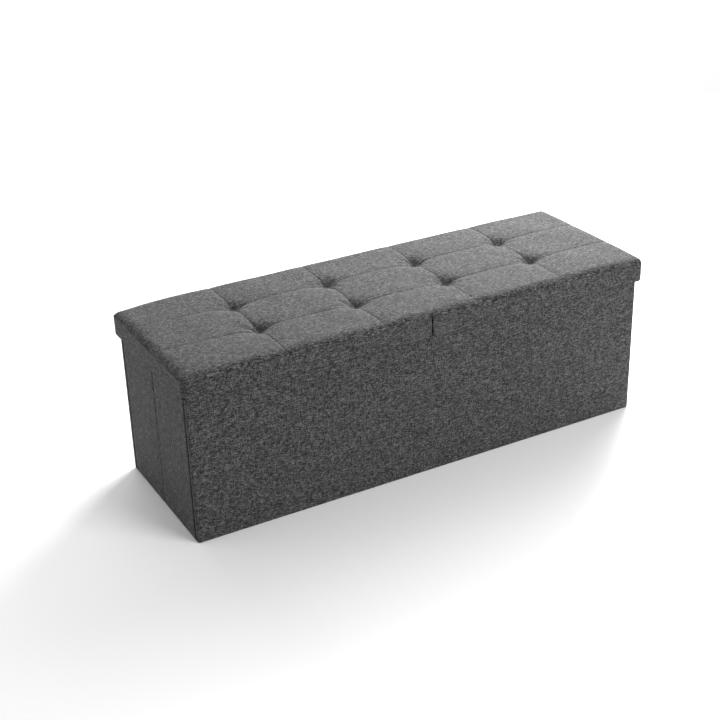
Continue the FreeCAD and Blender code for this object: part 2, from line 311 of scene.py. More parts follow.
# Pressed board on Object coordinates: small chips or fibres over a slow change of tone.
def pressedBoard(name, colour, chip, contrast):
    material, tree, shader = newMaterial(name)
    place = node(tree, "ShaderNodeTexCoord").outputs["Object"]
    chips = node(tree, "ShaderNodeTexVoronoi", {"Vector": place, "Scale": 1 / chip, "Randomness": 1.0})
    shadeOfChip = node(tree, "ShaderNodeSeparateColor", {0: chips.outputs["Color"]}).outputs[0]
    fibre = noise(tree, place, 2.5 / chip, 5.0)
    tone = noise(tree, place, 9.0)
    ground = plus(tree, times(tree, fibre, 0.6), times(tree, tone, 0.3))
    shade = plus(tree, times(tree, shadeOfChip, contrast), ground)
    paint = rampOf(tree, shade, [(0.2, tuple(c * 0.6 for c in colour)), (0.6, colour),
                                 (1.0, tuple(min(1, c * 1.35) for c in colour))])
    tree.links.new(paint, shader.inputs["Base Color"])
    bump(tree, shader, shade, 0.35, 0.2 * mm)
    shader.inputs["Roughness"].default_value = 0.8
    return material


# Open-cell foam: rounded cells from a fine Voronoi, pale and matt.
def foamMaterial():
    material, tree, shader = newMaterial("openCellFoam")
    place = node(tree, "ShaderNodeTexCoord").outputs["Object"]
    cells = node(tree, "ShaderNodeTexVoronoi", {"Vector": place, "Scale": 900.0}).outputs["Distance"]
    tone = noise(tree, place, 12.0)
    paint = rampOf(tree, plus(tree, cells, times(tree, tone, 0.3)),
                   [(0.1, (0.45, 0.42, 0.32)), (0.7, (0.86, 0.83, 0.70))])
    tree.links.new(paint, shader.inputs["Base Color"])
    bump(tree, shader, cells, 0.6, 0.4 * mm)
    shader.inputs["Roughness"].default_value = 0.95
    shader.inputs["Subsurface Weight"].default_value = 0.05
    return material


# Webbing: ribs across the strap with fine yarn noise, on the piece's own map. Besides the pull tabs, it
# colours the dark strips of painted gap shadow at the ends.
def webbingMaterial():
    material, tree, shader = newMaterial("strapWebbing")
    uv, u, v = clothMap(tree)
    ribTurn = times(tree, v, math.pi / (1.6 * mm))
    rib = ridges(tree, ribTurn)
    cordTurn = times(tree, u, math.pi / (1.1 * mm))
    cord = ridges(tree, cordTurn)
    yarn = noise(tree, uv, 1400.0)
    shade = plus(tree, times(tree, rib, 0.45), times(tree, yarn, 0.5))
    paint = rampOf(tree, shade, [(0.2, (0.006, 0.006, 0.0065)), (0.6, (0.022, 0.022, 0.023)),
                                 (0.95, (0.06, 0.06, 0.062))])
    tree.links.new(paint, shader.inputs["Base Color"])
    bump(tree, shader, plus(tree, shade, times(tree, cord, 0.3)), 0.7, 0.4 * mm)
    shader.inputs["Roughness"].default_value = 0.85
    shader.inputs["Specular IOR Level"].default_value = 0.12
    return material


# Twisted thread: slanting strands on Object coordinates.
def threadMaterial(name, colour):
    material, tree, shader = newMaterial(name)
    place = node(tree, "ShaderNodeTexCoord").outputs["Object"]
    apart = node(tree, "ShaderNodeSeparateXYZ", {0: place})
    slant = plus(tree, plus(tree, apart.outputs[0], apart.outputs[1]), apart.outputs[2])
    strandTurn = times(tree, slant, math.pi / (0.6 * mm))
    strand = ridges(tree, strandTurn)
    fuzz = noise(tree, place, 3000.0, 3.0)
    shade = plus(tree, times(tree, strand, 0.6), times(tree, fuzz, 0.4))
    paint = rampOf(tree, shade, [(0.1, tuple(c * 0.3 for c in colour)), (0.8, colour)])
    tree.links.new(paint, shader.inputs["Base Color"])
    bump(tree, shader, shade, 0.6, 0.15 * mm)
    shader.inputs["Roughness"].default_value = 0.75
    return material


# Moulded plastic or drawn wire: a fine grain, drawn out by stretch, over faint blotches.
def grainMaterial(name, colour, metallic, roughness, stretch):
    material, tree, shader = newMaterial(name)
    place = node(tree, "ShaderNodeTexCoord").outputs["Object"]
    drawn = node(tree, "ShaderNodeMapping", {"Vector": place, "Scale": stretch})
    grain = noise(tree, drawn.outputs[0], 700.0, 4.0)
    blotch = noise(tree, place, 60.0)
    shade = plus(tree, times(tree, grain, 0.6), times(tree, blotch, 0.4))
    paint = rampOf(tree, shade, [(0.25, tuple(c * 0.7 for c in colour)),
                                 (0.75, tuple(min(1, c * 1.2) for c in colour))])
    tree.links.new(paint, shader.inputs["Base Color"])
    rough = node(tree, "ShaderNodeMapRange", {0: grain, 1: 0.3, 2: 0.7, 3: roughness * 0.8,
                                              4: min(1, roughness * 1.2)})
    tree.links.new(rough.outputs[0], shader.inputs["Roughness"])
    bump(tree, shader, grain, 0.25, 0.08 * mm)
    shader.inputs["Metallic"].default_value = metallic
    return material


# The seat's cloth is the sides' heather with its mid and light tones made 1.12 times lighter: painted light
# on the top.
seatFabricPaintedLight = wovenCloth("seatHeatherPaintedLight", heather, 1.12)
sideFabric = wovenCloth("sideHeather", heather)
liningFelt = feltCloth("liningFelt", (0.016, 0.016, 0.017))
floorFelt = feltCloth("floorFelt", (0.02, 0.02, 0.021), 6 * mm)
wallBoard = pressedBoard("wallFibreboard", (0.40, 0.28, 0.17), 0.8 * mm, 0.2)
hardBoard = pressedBoard("hardboard", (0.20, 0.12, 0.07), 0.5 * mm, 0.15)
chipBoard = pressedBoard("seatChipboard", (0.52, 0.39, 0.24), 3.5 * mm, 0.45)
foamCells = foamMaterial()
strapWebbing = webbingMaterial()
tuftThread = threadMaterial("tuftThread", (0.03, 0.03, 0.031))
seamThread = threadMaterial("seamThread", (0.07, 0.07, 0.072))
washerPlastic = grainMaterial("washerPlastic", (0.02, 0.02, 0.021), 0.0, 0.5, (1, 1, 1))
stapleWire = grainMaterial("stapleWire", (0.55, 0.55, 0.56), 1.0, 0.35, (0.1, 0.1, 1))
print("materials made")


# Gives a piece its only material.
def dress(piece, material):
    piece.data.materials.clear()
    piece.data.materials.append(material)
    return piece


# A closed rounded rectangle in the plane of length and thickness: straight sides with `count` steps
# along the length, and a quarter circle at each corner. The two far corners (outer face) and the two
# near ones have their own radii, low side first. Returns (points, 2) with the outer face first.
def slabRing(a0, a1, t0, t1, outer, inner, count):
    # a quarter circle of 6 points about its centre, from its starting direction
    def quarter(ca, ct, radius, start):
        turn = start + np.linspace(0, math.pi / 2, 6)
        return np.stack([ca + radius * np.cos(turn), ct + radius * np.sin(turn)], 1)
    steps = np.linspace(0, 1, count + 1)[1:-1, None]
    c1 = quarter(a0 + outer[0], t0 + outer[0], outer[0], math.pi)
    c2 = quarter(a1 - outer[1], t0 + outer[1], outer[1], 1.5 * math.pi)
    c3 = quarter(a1 - inner[1], t1 - inner[1], inner[1], 0)
    c4 = quarter(a0 + inner[0], t1 - inner[0], inner[0], 0.5 * math.pi)
    return np.concatenate([c1, c1[-1] + (c2[0] - c1[-1]) * steps, c2, c3,
                           c3[-1] + (c4[0] - c3[-1]) * steps, c4])


# A slab is a stack of such rings up its height. At the bottom and top the rings draw in along a
# quarter circle and then close to a line in the middle of the thickness. The length may change with
# height (aLow and aHigh are functions of it), and slow waves lift both faces a little, none at the
# edges. order says which of x, y, z the length, thickness and height are; a turned one has its weave
# turned by a quarter.
def slab(name, material, aLow, aHigh, t, h, order,
         outer=(4 * mm, 4 * mm), inner=(1.5 * mm, 1.5 * mm),
         edgeRadius=3 * mm, step=14 * mm, wave=0.25 * mm, seed=1, turned=False):
    t0, t1 = t
    half = abs(t1 - t0) / 2
    towards = 1 if t1 > t0 else -1
    edgeRadius = min(edgeRadius, half * 0.9)
    rise = np.linspace(0, math.pi / 2, 6)
    capIn = [(half * 0.999, 0.0), ((half + edgeRadius) / 2, 0.0)]
    capIn += [(edgeRadius * (1 - math.sin(r)), edgeRadius * (1 - math.cos(r))) for r in rise]
    middle = np.linspace(h[0] + edgeRadius, h[1] - edgeRadius, max(3, int((h[1] - h[0]) / step)))[1:-1]
    levels = [(inset, h[0] + up) for inset, up in capIn] + [(0.0, z) for z in middle]
    levels += [(inset, h[1] - up) for inset, up in capIn[::-1]]
    widest = max(aHigh(z) - aLow(z) for z in (h[0], h[1]))
    count = max(4, int(widest / step))
    rings = []
    for inset, z in levels:
        small = lambda pair: [max(0.02 * mm, min(r, half * 0.98) - inset) for r in pair]
        ring = slabRing(aLow(z) + inset, aHigh(z) - inset, inset, 2 * half - inset,
                        small(outer), small(inner), count)
        rings.append(np.concatenate([ring, np.full((len(ring), 1), z)], 1))
    grid = np.array(rings)
    a, depth, z = grid[..., 0], grid[..., 1], grid[..., 2]
    edge = np.minimum.reduce([a - a.min(1, keepdims=True), a.max(1, keepdims=True) - a,
                              z - h[0], h[1] - z])
    calm = np.clip(edge / (25 * mm), 0, 1) ** 1.5
    side = np.where(depth < half, -1, 1) * (np.abs(depth - half) > half * 0.9)
    depth = depth + side * wave * calm * (waves(a, z, 0.11, seed) - 0.6)
    flat = np.stack([a, t0 + towards * depth, z], -1)
    points = np.empty_like(flat)
    for source, target in enumerate(order):
        points[..., target] = flat[..., source]
    along = np.array([arcLength(np.concatenate([r[:, :2], r[:1, :2]])) for r in grid])
    middleRow = len(levels) // 2
    along = np.broadcast_to(along[middleRow], along.shape)
    up = np.broadcast_to(arcLength(np.stack([[l[0], l[1]] for l in levels]))[:, None], along.shape)
    uv = np.stack([up, along] if turned else [along, up], -1)
    return dress(gridPiece(name, points, uv, wrapColumns=True), material)


# A length that does not change with height.
def steady(value):
    return lambda z: value


panels = {
    "outerRadius": 5 * mm,
    "cornerRadius": 1.3 * mm,   # where an end meets a wall
    "cornerGap": 0.8 * mm,      # and how far it stands back there
    "liningRadius": 0.3 * mm,
    "liningInset": 0.6 * mm,
    "overlap": 0.1 * mm,        # the lining starts this far inside the cover
}


# One wall or half end: the cover is a slab from the outer face nearly to the lining, and the lining is
# a thin slab on the inner face.
def coveredPanel(panel, along, seed):
    p = panels
    low, high = boxOf(panel + "_cover")
    liningBox = boxOf(panel + "_lining")
    thick = 1 if along == 0 else 0
    outerFirst = abs(low[thick]) > abs(high[thick])
    outer, inner = (low[thick], high[thick]) if outerFirst else (high[thick], low[thick])
    liningFace = liningBox[1][thick] if outerFirst else liningBox[0][thick]
    order = (along, thick, 2)
    ends = [low[along], high[along]]
    radii = [p["outerRadius"], p["outerRadius"]]
    if along == 1:
        corner = 1 if high[1] > -low[1] else 0
        ends[corner] -= p["cornerGap"] * np.sign(ends[corner])
        radii[corner] = p["cornerRadius"]
    cover = slab(panel + "_upholstery", sideFabric, steady(ends[0]), steady(ends[1]),
                 (outer, inner), (low[2], high[2]), order, radii, seed=seed, turned=along == 1)
    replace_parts(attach(cover, panel), panel + "_cover")
    start = inner - p["overlap"] * np.sign(liningFace - inner)
    inset = p["liningInset"]
    thin = [p["liningRadius"]] * 2
    lining = slab(panel + "_liningCloth", liningFelt, steady(ends[0] + inset),
                  steady(ends[1] - inset), (liningFace, start), (low[2] + inset, high[2] - inset), order,
                  thin, thin, edgeRadius=p["liningRadius"], wave=0.0, seed=seed)
    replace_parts(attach(lining, panel), panel + "_lining")


for number, (panelName, direction) in enumerate([
        ("rear_wall", 0), ("front_wall", 0), ("left_end_rear", 1), ("left_end_front", 1),
        ("right_end_rear", 1), ("right_end_front", 1)]):
    coveredPanel(panelName, direction, 11 + number)
print("box panels made")


# A shell is two layers of points closed at their edges. upper and lower are grids of the same size.
# Each row runs over the upper layer and back along the lower one, and the first and last rows are
# closed by a row that has fallen onto the lower layer.
def closedShell(name, upper, lower, uv):
    loop = np.concatenate([upper, lower[:, ::-1]], 1)
    ends = [np.concatenate([lower[i:i + 1], lower[i:i + 1, ::-1]], 1) for i in (0, -1)]
    points = np.concatenate([ends[0], loop, ends[1]], 0)
    loopUv = np.concatenate([uv, uv[:, ::-1], uv[:, :1]], 1)
    loopUv = np.concatenate([loopUv[:1] - 1 * mm, loopUv, loopUv[-1:] + 1 * mm], 0)
    return gridPiece(name, points, loopUv, wrapColumns=True)


# Unit normals of a grid of points, from the differences between neighbouring lines.
def gridNormals(points):
    n = np.cross(np.gradient(points, axis=0), np.gradient(points, axis=1))
    return n / np.maximum(np.linalg.norm(n, axis=2, keepdims=True), 1e-12)


quilt = {
    "columns": 5,
    "rows": 3,
    "rimInset": 1.6 * mm,
    "rimRadius": 14.4 * mm,     # plan corners
    "edgeFall": 9.8 * mm,
    "edgeReach": 21 * mm,       # how far in the edge starts to fall
    "crown": 1.8 * mm,          # slow fall from the middle out to the edge
    "crownReach": 34 * mm,
    "seamDepth": 0.9 * mm,
    "seamWidth": 10 * mm,
    "pullDepth": 3.4 * mm,      # seams run this much deeper at a tuft
    "pullReach": 38 * mm,
    "stitchDepth": 0.9 * mm,
    "stitchWidth": 1.1 * mm,
    "tuftDepth": 11.5 * mm,
    "tuftWidth": 13 * mm,
    "foldDepth": 2.0 * mm,
    "dishDepth": 3.6 * mm,
    "dishWidth": 36 * mm,
    "deepest": 16.6 * mm,       # where the cords hold the cloth
    "puckers": 9,
    "puckerHeight": 0.75 * mm,
    "puckerReach": 17 * mm,
    "bow": 1.6 * mm,
    "looseBow": 15 * mm,        # the rear seam's drift at the left end
    "notch": 1.5 * mm,          # seams sit this much lower where they cross the edge
    "cornerFall": 6.5 * mm,     # the plan corners sink, over about the next length
    "cornerReach": 62 * mm,
    "rightCornerShare": 0.35,   # the right-hand corners are fuller
    "cloth": 1.1 * mm,
    "foldZone": 7 * mm,
    "slowWave": 0.55 * mm,
    "gridX": 5.2 * mm,          # spacing of the cloth's points away from seams,
    "gridY": 3.6 * mm,
    "gridClose": 1.45 * mm,     # at a seam,
    "gridReach": 20 * mm,       # and the distance over which one becomes the other
}


# Places of the seams that cut a width into equal shares, about its middle.
def seamPlaces(half, shares):
    return [(k - shares / 2) * 2 * half / shares for k in range(1, shares)]


seamX = seamPlaces(seatHalfLength, quilt["columns"])
seamY = seamPlaces(seatHalfDepth, quilt["rows"])
tufts = [(x, y) for x in seamX for y in seamY]

# Fans of fine folds that run out of some tufts: tuft, direction in degrees, half spread, folds, reach.
foldFans = [
    ((0, 1), 165, 0.55, 4, 52 * mm),
    ((3, 0), 8, 0.5, 4, 50 * mm),
    ((1, 1), 160, 0.45, 3, 40 * mm),
    ((0, 0), 200, 0.4, 3, 34 * mm),
    ((2, 1), 20, 0.4, 3, 34 * mm),
    ((3, 1), 150, 0.45, 3, 36 * mm),
    ((1, 0), 340, 0.4, 3, 34 * mm),
]


# How far the cloth lies below the seat's top at each place, before the edge falls away.
# Seams: a soft exponential valley with a narrow gaussian stitch line, deeper near tufts.
# Tufts: a steep funnel, the exponential of a power of the distance, in a wide gaussian dish. Folds:
# cosines round each tuft that fade out, and fans of thin creases (a cosine cubed) beside some tufts.
# The sum is bent over so that it never passes the deepest place (a fourth-power soft limit).
def quiltDepth(x, y):
    q = quilt
    depth = np.zeros_like(x)
    fromEdge = np.minimum(seatHalfLength - np.abs(x), seatHalfDepth - np.abs(y))
    notch = q["notch"] * np.exp(-fromEdge / (24 * mm))
    reach = [np.hypot(x - tx, y - ty) for tx, ty in tufts]
    nearest = np.minimum.reduce(reach)
    free = 1 - np.exp(-(nearest / (30 * mm)) ** 2)
    pull = np.exp(-nearest / q["pullReach"])
    for k, sx in enumerate(seamX):
        line = sx + q["bow"] * free * waves(y, y * 0, 0.16, 40 + k, 3)
        away = np.abs(x - line)
        depth = depth + (q["seamDepth"] + q["pullDepth"] * pull) * np.exp(-away / q["seamWidth"])
        depth = depth + q["stitchDepth"] * np.exp(-(away / q["stitchWidth"]) ** 2)
        depth = depth + notch * np.exp(-away / (14 * mm))
    for k, sy in enumerate(seamY):
        past = np.clip((-x + seamX[0]) / (seatHalfLength + seamX[0]), 0, 1)
        drift = q["looseBow"] * past ** 1.4 * (1.0 if k else 0.25)
        line = sy + drift + q["bow"] * free * waves(x, x * 0, 0.2, 50 + k, 3)
        away = np.abs(y - line)
        loose = 1 - 0.3 * past
        depth = depth + loose * (q["seamDepth"] + q["pullDepth"] * pull) * np.exp(-away / q["seamWidth"])
        depth = depth + loose * q["stitchDepth"] * np.exp(-(away / q["stitchWidth"]) ** 2)
        depth = depth + notch * np.exp(-away / (14 * mm))
    for k, ((tx, ty), r) in enumerate(zip(tufts, reach)):
        turn = np.arctan2(y - ty, x - tx)
        depth = depth + q["tuftDepth"] * np.exp(-(r / q["tuftWidth"]) ** 1.6)
        depth = depth + q["dishDepth"] * np.exp(-(r / q["dishWidth"]) ** 2)
        pick = np.random.default_rng(70 + k)
        phase, lean = pick.uniform(0, 6.28, 2)
        swell = (r / q["puckerReach"]) ** 1.5 * np.exp(1.5 - 1.5 * r / q["puckerReach"])
        ripple = np.cos(q["puckers"] * turn + phase + 0.9 * np.sin(2 * turn + lean))
        depth = depth + q["puckerHeight"] * swell * ripple * (0.6 + 0.4 * np.sin(turn + lean))
    for (i, j), heading, spread, folds, length in foldFans:
        tx, ty = seamX[i], seamY[j]
        r = np.hypot(x - tx, y - ty)
        turn = np.arctan2(y - ty, x - tx) - math.radians(heading)
        turn = (turn + math.pi) % (2 * math.pi) - math.pi
        window = np.exp(-(turn / spread) ** 2) * np.clip((r - 9 * mm) / (10 * mm), 0, 1)
        window = window * np.exp(-(r / length) ** 3)
        creaseLine = (0.5 + 0.5 * np.cos(folds * math.pi * turn / spread)) ** 3
        depth = depth + q["foldDepth"] * window * creaseLine
    depth = depth + q["slowWave"] * (1 + waves(x, y, 0.17, 3))
    return depth / (1 + (np.abs(depth) / q["deepest"]) ** 4) ** 0.25


# How far the seat's corners sink: a gaussian of the distance to the nearest plan corner.
def cornerSink(x, y):
    away = np.hypot(seatHalfLength - np.abs(x), seatHalfDepth - np.abs(y))
    share = np.where(x < 0, 1, quilt["rightCornerShare"])
    return share * quilt["cornerFall"] * np.exp(-(away / quilt["cornerReach"]) ** 2)


# A seat point for each crossing of two lines: corners are drawn into quarter circles (a square turned
# to a disc), the edge falls as a quarter ellipse of the distance in from the outline, and the rest is
# the quilt, shallower at the edge.
def seatSurface(lineX, lineY, sunk=0.0):
    q = quilt
    x, y = np.meshgrid(lineX, lineY, indexing="ij")
    radius = q["rimRadius"]
    halfX = seatHalfLength - q["rimInset"]
    halfY = seatHalfDepth - q["rimInset"]
    a = np.clip((np.abs(x) - halfX + radius) / radius, 0, 1)
    b = np.clip((np.abs(y) - halfY + radius) / radius, 0, 1)
    corner = (a > 0) & (b > 0)
    roundA = np.where(corner, a * np.sqrt(1 - b * b / 2), a)
    roundB = np.where(corner, b * np.sqrt(1 - a * a / 2), b)
    px = np.where(corner, np.sign(x) * (halfX - radius + radius * roundA), x)
    py = np.where(corner, np.sign(y) * (halfY - radius + radius * roundB), y)
    overX, overY = np.abs(px) - halfX + radius, np.abs(py) - halfY + radius
    beyond = np.hypot(np.maximum(overX, 0), np.maximum(overY, 0))
    inward = np.maximum(radius - beyond - np.minimum(np.maximum(overX, overY), 0), 0)
    fall = np.clip(1 - inward / q["edgeReach"], 0, 1)
    edge = q["edgeFall"] * (1 - np.sqrt(1 - fall ** 2))
    crown = q["crown"] * np.exp(-inward / q["crownReach"])
    calm = 0.45 + 0.55 * np.clip(inward / (26 * mm), 0, 1)
    drop = edge + crown + quiltDepth(px, py) * calm + cornerSink(px, py)
    return np.stack([px, py, seatTop - drop - sunk], -1)


# Lines across one direction of the seat: dense round the seams and the fold, and bunched as the
# cosine of equal turns where the edge rolls over.
def seatLines(half, seams, wide):
    reach = quilt["edgeReach"]
    roll = reach * (1 - np.cos(np.linspace(0, math.pi / 2, 14)))[:-1]
    inner = gradedLine(-half + reach, half - reach, seams, quilt["gridClose"], wide, quilt["gridReach"])
    return np.concatenate([-half + roll, inner, half - roll[::-1]])


# The seat's cloth: its surface, and the same surface moved inwards along its normals by the cloth's
# thickness. The rim is turned down. It is one piece over both halves, with close lines at the fold between
# them.
def makeSeatCloth():
    q = quilt
    lineX = seatLines(seatHalfLength - q["rimInset"], seamX + [0.0], q["gridX"])
    lineY = seatLines(seatHalfDepth - q["rimInset"], seamY, q["gridY"])
    upper = seatSurface(lineX, lineY)
    normal = gridNormals(upper)
    normal *= np.sign(normal[..., 2:3])
    lower = upper - q["cloth"] * normal
    rim = np.zeros(upper.shape[:2], bool)
    rim[[0, -1]] = True
    rim[:, [0, -1]] = True
    inward = -np.sign(upper[..., :2]) * 1.1 * mm
    lower[..., :2] = np.where(rim[..., None], upper[..., :2] + inward, lower[..., :2])
    lower[..., 2] = np.where(rim, upper[..., 2] - 3 * mm, lower[..., 2])
    cloth = closedShell("seatCloth", upper, lower, upper[..., :2].copy())
    dress(cloth, seatFabricPaintedLight)
    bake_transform(cloth)
    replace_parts(cloth, "lid_right_seat_cover", "lid_left_seat_cover", "lid_fold_seam")


# The foam follows the underside of the cloth at a coarser grid, and lies flat on the seat board.
def makeSeatFoam(side, body):
    inset = 2.6 * mm
    seams = [abs(s) for s in seamX]
    start = foldHalfGap + 2.2 * mm
    lineX = side * gradedLine(start, seatHalfLength - inset, seams, 3.5 * mm, 9 * mm, 30 * mm)
    lineY = gradedLine(-seatHalfDepth + inset, seatHalfDepth - inset, seamY, 3.5 * mm, 8 * mm, 30 * mm)
    upper = seatSurface(lineX, lineY, sunk=2.6 * mm)
    upper[..., 2] = np.maximum(upper[..., 2], boardTop + 2 * mm)
    lower = upper.copy()
    lower[..., 2] = boardTop + 0.2 * mm
    foam = closedShell("seatFoam_" + body[4:], upper, lower, upper[..., :2].copy())
    dress(foam, foamCells)
    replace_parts(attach(foam, body), body + "_foam")


# The cloth that closes a half's fold face: a thin shell from front to rear whose top edge follows
# the seat, with slow waves in it.
def makeFoldFacing(side, body):
    lineY = np.linspace(-seatHalfDepth + 1.0 * mm, seatHalfDepth - 1.0 * mm, 90)
    ceiling = seatSurface(np.array([side * (foldHalfGap + 1 * mm)]), lineY, sunk=2.2 * mm)[0, :, 2]
    share = np.linspace(0, 1, 14)
    z = skirtTop + 0.6 * mm + share[:, None] * (ceiling - skirtTop - 0.6 * mm)
    y = np.broadcast_to(lineY, z.shape)
    puff = 0.35 * mm * (waves(y, z, 0.06, 21) - 1) * np.sin(math.pi * share[:, None])
    face = foldHalfGap + 0.1 * mm - puff
    upper = np.stack([side * face, y, z], -1)
    lower = np.stack([side * (face + 0.9 * mm), y, z], -1)
    facing = closedShell("foldFacing_" + body[4:], upper, lower, np.stack([y, z], -1))
    dress(facing, sideFabric)
    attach(facing, body)


band = {
    "seamDrop": 12.6 * mm,      # from the seat's top to the seam under its rim
    "cloth": 1.6 * mm,
    "lowerRadius": 2.0 * mm,
    "slitSpread": 0.6 * mm,     # the slit is wider by this on each side
    "slitFlare": 1.0 * mm,      # and by this more at its top
    "slitFlareReach": 6 * mm,
    "cornerGroove": 0.7 * mm,
    "cornerGrooveWidth": 1.1 * mm,
    "wave": 0.4 * mm,
    "pucker": 0.22 * mm,
    "step": 6 * mm,
}


# The band's plan: front edge from the fold, a quarter circle, the end, a quarter circle and the rear
# edge back to the fold. Gives each place, its outward direction and its distance along the path.
def bandPath():
    radius = 16 * mm
    x1, y1 = seatHalfLength - radius, seatHalfDepth - radius
    edge = np.array([0.0, 0.25, 0.6, 1.2, 2.5]) * mm
    run = foldHalfGap + np.concatenate([edge, np.arange(6 * mm, x1 - foldHalfGap, band["step"])])
    front = np.stack([run, np.full_like(run, -y1)], 1)
    turn = np.linspace(0, math.pi / 2, 25)
    rise = np.linspace(-y1, y1, int(2 * y1 / band["step"]))[1:-1]
    end = np.stack([np.full_like(rise, x1), rise], 1)
    corner1 = np.broadcast_to([x1, -y1], (25, 2))
    corner2 = np.broadcast_to([x1, y1], (25, 2))
    place = np.concatenate([front, corner1, end, corner2, front[::-1] * [1, -1]])
    out = np.concatenate([
        np.tile([0.0, -1.0], (len(front), 1)), np.stack([np.sin(turn), -np.cos(turn)], 1),
        np.tile([1.0, 0.0], (len(end), 1)), np.stack([np.cos(turn), np.sin(turn)], 1),
        np.tile([0.0, 1.0], (len(front), 1))])
    place = place + out * radius
    return place, out, arcLength(place)


# The band's section, from the seam down the outer face, round the lower edge, up the inner face,
# over the skirt's hidden top and up behind the outer cloth. Gives distance in from the outer face
# and height, with the part that is seen from outside first.
def bandSection():
    b = band
    r = b["lowerRadius"]
    top = seatTop - b["seamDrop"]
    turn = np.linspace(0, math.pi / 2, 6)
    crest = np.stack([b["cloth"] * (1 - np.sin(turn)), top - 1.8 * mm * (1 - np.cos(turn))], 1)
    wallLine = np.linspace(crest[-1, 1], skirtBottom + r, 20)[1:]
    wallPart = np.stack([np.zeros_like(wallLine), wallLine], 1)
    lower1 = np.stack([r - r * np.cos(turn), skirtBottom + r - r * np.sin(turn)], 1)[1:]
    lower2 = np.stack([skirtThickness - r + r * np.sin(turn), skirtBottom + r - r * np.cos(turn)], 1)
    innerLine = np.linspace(skirtBottom + r, skirtTop - 0.6 * mm, 8)[1:]
    innerPart = np.stack([np.full_like(innerLine, skirtThickness), innerLine], 1)
    hidden = np.array([[skirtThickness - 0.5 * mm, skirtTop - 0.2 * mm], [b["cloth"], skirtTop - 0.2 * mm],
                       [b["cloth"], (skirtTop + top) / 2], [b["cloth"], top - 0.3 * mm]])
    section = np.concatenate([crest, wallPart, lower1, lower2, innerPart, hidden])
    return section, len(crest) + len(wallPart)


# The band is its section carried along its path. Outer points move in or out by slow waves, by small
# puckers under the seam, and by a groove at each corner's upright seam. The part above the skirt is
# squeezed down where the seat's corners sink.
def makeBand(side, body):
    b = band
    place, out, along = bandPath()
    section, outerCount = bandSection()
    depth, height = section[None, :, 0], section[None, :, 1]
    path = along[:, None]
    outer = np.zeros(len(section))
    outer[:outerCount] = 1
    top = height.max()
    shift = b["wave"] * (waves(path, height, 0.13, 31 + side) - 0.9)
    pucker = b["pucker"] * np.cos(2 * math.pi * path / (11 * mm))
    shift = shift + pucker * np.exp(-(top - height) / (7 * mm))
    bend = np.flatnonzero(np.abs(out[:, 0] * out[:, 1]) > 1e-9)
    for middle in (along[bend[len(bend) // 4]], along[bend[3 * len(bend) // 4]]):
        shift = shift - b["cornerGroove"] * np.exp(-((path - middle) / b["cornerGrooveWidth"]) ** 2)
    fromEnd = np.minimum(path, along[-1] - path)
    shift = shift * outer * np.clip(fromEnd / (20 * mm), 0, 1)
    endTurn = 1 - np.clip(fromEnd / (1.2 * mm), 0, 1)
    endInset = 0.5 * mm * (1 - np.sqrt(np.clip(1 - endTurn ** 2, 0, 1)))
    middleDepth = np.where(height > skirtTop, b["cloth"] / 2, skirtThickness / 2)
    inset = depth + endInset * np.sign(middleDepth - depth)
    points = np.empty((len(along), section.shape[0], 3))
    points[..., :2] = place[:, None] + out[:, None] * (shift - inset)[..., None]
    sink = cornerSink(place[:, 0], place[:, 1])[:, None]
    points[..., 2] = height - sink * np.clip((height - skirtTop) / (top - skirtTop), 0, 1)
    flare = b["slitSpread"] + b["slitFlare"] * np.exp(-(top - height) / b["slitFlareReach"])
    nearSlit = np.exp(-fromEnd / (4 * mm)) * (np.abs(out[:, 1:2]) > 0.99)
    points[..., 0] += flare * nearSlit
    points[..., 0] *= side
    around = arcLength(np.concatenate([section, section[:1]]))
    uv = np.stack(np.broadcast_arrays(along[:, None], -around[None, :]), -1)
    piece = gridPiece("lidBand_" + body[4:], points, uv, wrapColumns=True, caps=True)
    dress(piece, sideFabric)
    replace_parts(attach(piece, body), body + "_skirt_cover")


# The lid's lining: a thin felt sheet stretched over the board's underside, drawn up a little by waves.
def makeLidLining(side, body):
    low, high = boxOf(body + "_lining")
    x = np.linspace(low[0], high[0], 70)
    y = np.linspace(low[1], high[1], 50)
    x, y = np.meshgrid(x, y, indexing="ij")
    lift = 0.12 * mm * (1 + waves(x, y, 0.09, 61))
    upper = np.stack([x, y, np.full_like(x, high[2] - 0.1 * mm)], -1)
    lower = np.stack([x, y, low[2] + lift], -1)
    lining = closedShell("lidLining_" + body[4:], upper, lower, upper[..., :2].copy())
    dress(lining, liningFelt)
    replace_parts(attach(lining, body), body + "_lining")


makeSeatCloth()
for lidSide, lidHalf in ((1, "lid_right"), (-1, "lid_left")):
    makeSeatFoam(lidSide, lidHalf)
    makeFoldFacing(lidSide, lidHalf)
    makeBand(lidSide, lidHalf)
    makeLidLining(lidSide, lidHalf)
print("lid made")


# The outline of a flat strip from -half to half and from 0 to thick, with rounded edges.
def stripSection(half, thick, count=9):
    turn = np.linspace(0, math.pi, 7)[1:-1]
    run = np.linspace(-half, half, count)
    lower = np.stack([run, np.zeros(count)], 1)
    right = np.stack([half + thick / 2 * np.sin(turn), thick / 2 * (1 - np.cos(turn))], 1)
    upper = np.stack([run[::-1], np.full(count, thick)], 1)
    left = np.stack([-half - thick / 2 * np.sin(turn), thick / 2 * (1 + np.cos(turn))], 1)
    return np.concatenate([lower, right, upper, left])


